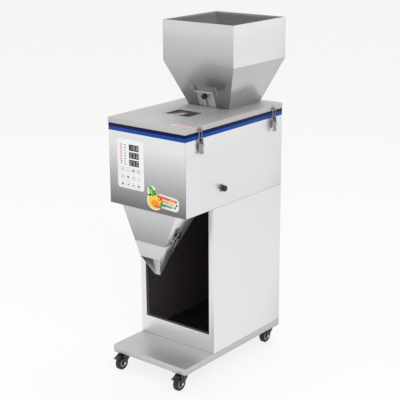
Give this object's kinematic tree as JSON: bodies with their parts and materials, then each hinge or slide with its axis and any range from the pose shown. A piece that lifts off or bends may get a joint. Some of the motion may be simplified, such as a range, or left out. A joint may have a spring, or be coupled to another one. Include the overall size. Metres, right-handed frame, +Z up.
{
  "type": "weighing powder filler",
  "caption": "Free-standing weighing filler: square hopper over a vibrating feed trough, clip-on funnel spout below an overhung head, open cabinet and platform on swivel casters.",
  "frame": {"origin": "on the floor, at the middle of the footprint", "axes": "+Z up, +X to the machine's right, control panel facing -Y"},
  "size_m": [0.3464, 0.5862, 1.164],
  "materials": {
    "sheet_steel": "brushed stainless sheet",
    "fascia_steel": "brushed stainless sheet",
    "polished_steel": "bright pressed steel",
    "seal_blue": "blue moulded frame",
    "window_smoke": "smoked clear sheet",
    "film_white": "printed keypad film",
    "display_black": "dark display lens",
    "black_plastic": "moulded black plastic",
    "black_paint": "black powder coat",
    "tyre_black": "moulded tyre",
    "rubber_black": "rubber",
    "board_green": "circuit board",
    "cast_grey": "cast base",
    "coil_black": "potted coil",
    "load_cell_alu": "machined aluminium"
  },
  "bodies": {
    "frame": {"base_tray": "sheet_steel", "caster_plates": "black_paint", "cabinet_shell": "sheet_steel", "rear_service_panel": "sheet_steel", "housing_shell": "sheet_steel", "front_fascia": "fascia_steel", "lid_seal": "seal_blue", "lid": "sheet_steel", "lid_window": "window_smoke", "hopper": "sheet_steel", "keypad_film": "film_white", "display_modules": "display_black", "control_board": "board_green", "discharge_funnel": "sheet_steel", "discharge_spout": "sheet_steel", "latch_bases": "polished_steel", "latch_keepers": "polished_steel", "feeder_base": "cast_grey", "rubber_mounts": "rubber_black", "electromagnet": "coil_black", "leaf_springs": "polished_steel", "feed_trough": "sheet_steel", "trough_carrier": "sheet_steel", "load_cell": "load_cell_alu", "scale_bracket": "sheet_steel", "weigh_bucket": "sheet_steel", "door_solenoid": "coil_black", "power_inlet": "black_plastic"},
    "gate": {"hopper_gate": "sheet_steel"},
    "gate_clamp": {"gate_knob": "black_plastic"},
    "door": {"bucket_door": "sheet_steel"},
    "plunger": {"solenoid_plunger": "polished_steel"},
    "lock": {"lock_knob": "black_plastic"},
    "rocker": {"power_rocker": "black_plastic"},
    "lid_latch_front_left_lever": {"lid_latch_front_left_lever": "polished_steel"},
    "lid_latch_front_left_bail": {"lid_latch_front_left_bail": "polished_steel"},
    "lid_latch_rear_left_lever": {"lid_latch_rear_left_lever": "polished_steel"},
    "lid_latch_rear_left_bail": {"lid_latch_rear_left_bail": "polished_steel"},
    "spout_latch_left_lever": {"spout_latch_left_lever": "polished_steel"},
    "spout_latch_left_bail": {"spout_latch_left_bail": "polished_steel"},
    "lid_latch_front_right_lever": {"lid_latch_front_right_lever": "polished_steel"},
    "lid_latch_front_right_bail": {"lid_latch_front_right_bail": "polished_steel"},
    "lid_latch_rear_right_lever": {"lid_latch_rear_right_lever": "polished_steel"},
    "lid_latch_rear_right_bail": {"lid_latch_rear_right_bail": "polished_steel"},
    "spout_latch_right_lever": {"spout_latch_right_lever": "polished_steel"},
    "spout_latch_right_bail": {"spout_latch_right_bail": "polished_steel"},
    "caster_front_left_swivel": {"caster_front_left_fork": "black_paint", "caster_front_left_axle": "polished_steel"},
    "caster_front_left_wheel": {"caster_front_left_wheel": "tyre_black"},
    "caster_front_left_pedal": {"caster_front_left_pedal": "black_paint"},
    "caster_front_right_swivel": {"caster_front_right_fork": "black_paint", "caster_front_right_axle": "polished_steel"},
    "caster_front_right_wheel": {"caster_front_right_wheel": "tyre_black"},
    "caster_front_right_pedal": {"caster_front_right_pedal": "black_paint"},
    "caster_rear_left_swivel": {"caster_rear_left_fork": "black_paint", "caster_rear_left_axle": "polished_steel"},
    "caster_rear_left_wheel": {"caster_rear_left_wheel": "tyre_black"},
    "caster_rear_right_swivel": {"caster_rear_right_fork": "black_paint", "caster_rear_right_axle": "polished_steel"},
    "caster_rear_right_wheel": {"caster_rear_right_wheel": "tyre_black"}
  },
  "joints": [
    {"name": "gate_slide", "type": "slide", "parent": "frame", "child": "gate", "axis": [0, -0.3606, 0.9327], "range_m": [0, 0.04]},
    {"name": "gate_clamp_turn", "type": "hinge", "parent": "frame", "child": "gate_clamp", "pos_m": [0, 0.03961, 0.91724], "axis": [0, -0.9327, -0.3606], "range_deg": [0, 180]},
    {"name": "bucket_door_swing", "type": "hinge", "parent": "frame", "child": "door", "pos_m": [0, -0.14586, 0.669], "axis": [1, 0, 0], "range_deg": [0, 55], "stiffness_Nm_per_rad": 0.16, "springref_deg": -34.38},
    {"name": "plunger_pull", "type": "slide", "parent": "frame", "child": "plunger", "axis": [0, 1, 0], "range_m": [0, 0.014]},
    {"name": "lock_turn", "type": "hinge", "parent": "frame", "child": "lock", "pos_m": [0.16, -0.06786, 0.651], "axis": [1, 0, 0], "range_deg": [0, 270]},
    {"name": "power_rock", "type": "hinge", "parent": "frame", "child": "rocker", "pos_m": [0.096, 0.25514, 0.676], "axis": [1, 0, 0], "range_deg": [-8, 8]},
    {"name": "lid_latch_front_left_open", "type": "hinge", "parent": "frame", "child": "lid_latch_front_left_lever", "pos_m": [-0.166, -0.19086, 0.833], "axis": [0, 1, 0], "range_deg": [0, 110]},
    {"name": "lid_latch_front_left_loop", "type": "hinge", "parent": "lid_latch_front_left_lever", "child": "lid_latch_front_left_bail", "pos_m": [-0.166, -0.19086, 0.828], "axis": [0, 1, 0], "range_deg": [-110, 0]},
    {"name": "lid_latch_rear_left_open", "type": "hinge", "parent": "frame", "child": "lid_latch_rear_left_lever", "pos_m": [-0.166, 0.20414, 0.833], "axis": [0, 1, 0], "range_deg": [0, 110]},
    {"name": "lid_latch_rear_left_loop", "type": "hinge", "parent": "lid_latch_rear_left_lever", "child": "lid_latch_rear_left_bail", "pos_m": [-0.166, 0.20414, 0.828], "axis": [0, 1, 0], "range_deg": [-110, 0]},
    {"name": "spout_latch_left_open", "type": "hinge", "parent": "frame", "child": "spout_latch_left_lever", "pos_m": [-0.07781, -0.21186, 0.49377], "axis": [0, -1, 0], "range_deg": [0, 110]},
    {"name": "spout_latch_left_loop", "type": "hinge", "parent": "spout_latch_left_lever", "child": "spout_latch_left_bail", "pos_m": [-0.07987, -0.21186, 0.49833], "axis": [0, -1, 0], "range_deg": [-110, 0]},
    {"name": "lid_latch_front_right_open", "type": "hinge", "parent": "frame", "child": "lid_latch_front_right_lever", "pos_m": [0.166, -0.19086, 0.833], "axis": [0, -1, 0], "range_deg": [0, 110]},
    {"name": "lid_latch_front_right_loop", "type": "hinge", "parent": "lid_latch_front_right_lever", "child": "lid_latch_front_right_bail", "pos_m": [0.166, -0.19086, 0.828], "axis": [0, -1, 0], "range_deg": [-110, 0]},
    {"name": "lid_latch_rear_right_open", "type": "hinge", "parent": "frame", "child": "lid_latch_rear_right_lever", "pos_m": [0.166, 0.20414, 0.833], "axis": [0, -1, 0], "range_deg": [0, 110]},
    {"name": "lid_latch_rear_right_loop", "type": "hinge", "parent": "lid_latch_rear_right_lever", "child": "lid_latch_rear_right_bail", "pos_m": [0.166, 0.20414, 0.828], "axis": [0, -1, 0], "range_deg": [-110, 0]},
    {"name": "spout_latch_right_open", "type": "hinge", "parent": "frame", "child": "spout_latch_right_lever", "pos_m": [0.07781, -0.21186, 0.49377], "axis": [0, 1, 0], "range_deg": [0, 110]},
    {"name": "spout_latch_right_loop", "type": "hinge", "parent": "spout_latch_right_lever", "child": "spout_latch_right_bail", "pos_m": [0.07987, -0.21186, 0.49833], "axis": [0, 1, 0], "range_deg": [-110, 0]},
    {"name": "caster_front_left_turn", "type": "hinge", "parent": "frame", "child": "caster_front_left_swivel", "pos_m": [-0.128, -0.24686, 0.057], "axis": [0, 0, 1], "continuous": true},
    {"name": "caster_front_left_roll", "type": "hinge", "parent": "caster_front_left_swivel", "child": "caster_front_left_wheel", "pos_m": [-0.128, -0.26386, 0.024], "axis": [1, 0, 0], "continuous": true},
    {"name": "caster_front_left_brake", "type": "hinge", "parent": "caster_front_left_swivel", "child": "caster_front_left_pedal", "pos_m": [-0.128, -0.26736, 0.0516], "axis": [1, 0, 0], "range_deg": [0, 14]},
    {"name": "caster_front_right_turn", "type": "hinge", "parent": "frame", "child": "caster_front_right_swivel", "pos_m": [0.128, -0.24686, 0.057], "axis": [0, 0, 1], "continuous": true},
    {"name": "caster_front_right_roll", "type": "hinge", "parent": "caster_front_right_swivel", "child": "caster_front_right_wheel", "pos_m": [0.128, -0.26386, 0.024], "axis": [1, 0, 0], "continuous": true},
    {"name": "caster_front_right_brake", "type": "hinge", "parent": "caster_front_right_swivel", "child": "caster_front_right_pedal", "pos_m": [0.128, -0.26736, 0.0516], "axis": [1, 0, 0], "range_deg": [0, 14]},
    {"name": "caster_rear_left_turn", "type": "hinge", "parent": "frame", "child": "caster_rear_left_swivel", "pos_m": [-0.128, 0.23714, 0.057], "axis": [0, 0, 1], "continuous": true},
    {"name": "caster_rear_left_roll", "type": "hinge", "parent": "caster_rear_left_swivel", "child": "caster_rear_left_wheel", "pos_m": [-0.128, 0.22014, 0.024], "axis": [1, 0, 0], "continuous": true},
    {"name": "caster_rear_right_turn", "type": "hinge", "parent": "frame", "child": "caster_rear_right_swivel", "pos_m": [0.128, 0.23714, 0.057], "axis": [0, 0, 1], "continuous": true},
    {"name": "caster_rear_right_roll", "type": "hinge", "parent": "caster_rear_right_swivel", "child": "caster_rear_right_wheel", "pos_m": [0.128, 0.22014, 0.024], "axis": [1, 0, 0], "continuous": true}
  ],
  "couplings": [
    {"joint": "plunger_pull", "follows": "bucket_door_swing", "m_per_rad": 0.01458},
    {"joint": "lid_latch_front_left_loop", "follows": "lid_latch_front_left_open", "ratio": -1},
    {"joint": "lid_latch_rear_left_loop", "follows": "lid_latch_rear_left_open", "ratio": -1},
    {"joint": "spout_latch_left_loop", "follows": "spout_latch_left_open", "ratio": -1},
    {"joint": "lid_latch_front_right_loop", "follows": "lid_latch_front_right_open", "ratio": -1},
    {"joint": "lid_latch_rear_right_loop", "follows": "lid_latch_rear_right_open", "ratio": -1},
    {"joint": "spout_latch_right_loop", "follows": "spout_latch_right_open", "ratio": -1}
  ]
}
